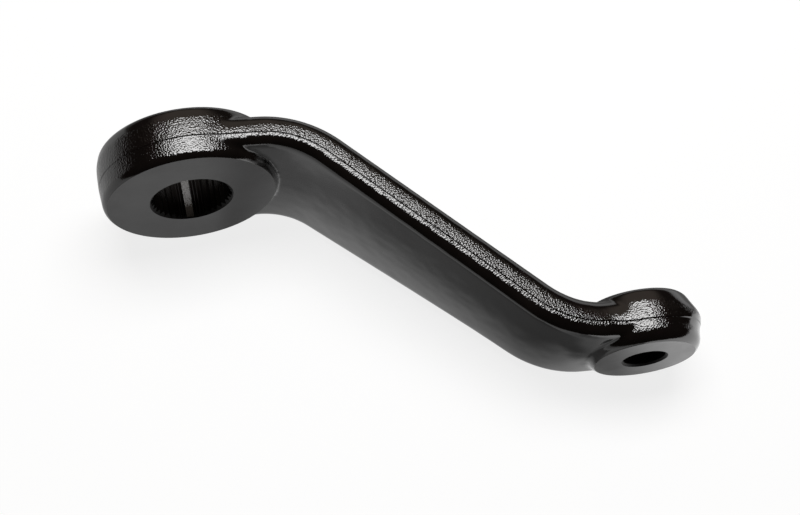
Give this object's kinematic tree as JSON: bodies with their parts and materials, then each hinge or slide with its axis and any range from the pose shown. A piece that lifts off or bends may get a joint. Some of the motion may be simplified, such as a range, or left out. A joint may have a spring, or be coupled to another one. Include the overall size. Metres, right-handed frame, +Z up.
{
  "type": "pitman arm",
  "caption": "Dropped steering pitman arm: one black forging with a serrated tapered shaft eye, an S-bent arm and a smaller eye with a tapered ball stud hole.",
  "frame": {"origin": "middle of the serrated bore, on its axis", "axes": "+Y along the serrated bore, from the nut side to the shaft side; +X along the arm towards the small eye; +Z up, with the arm lying on the flanks of its two eyes"},
  "size_m": [0.2088, 0.1091, 0.067],
  "materials": {
    "black_paint": "gloss"
  },
  "bodies": {
    "root": {"pitman_arm": "black_paint"}
  },
  "joints": []
}
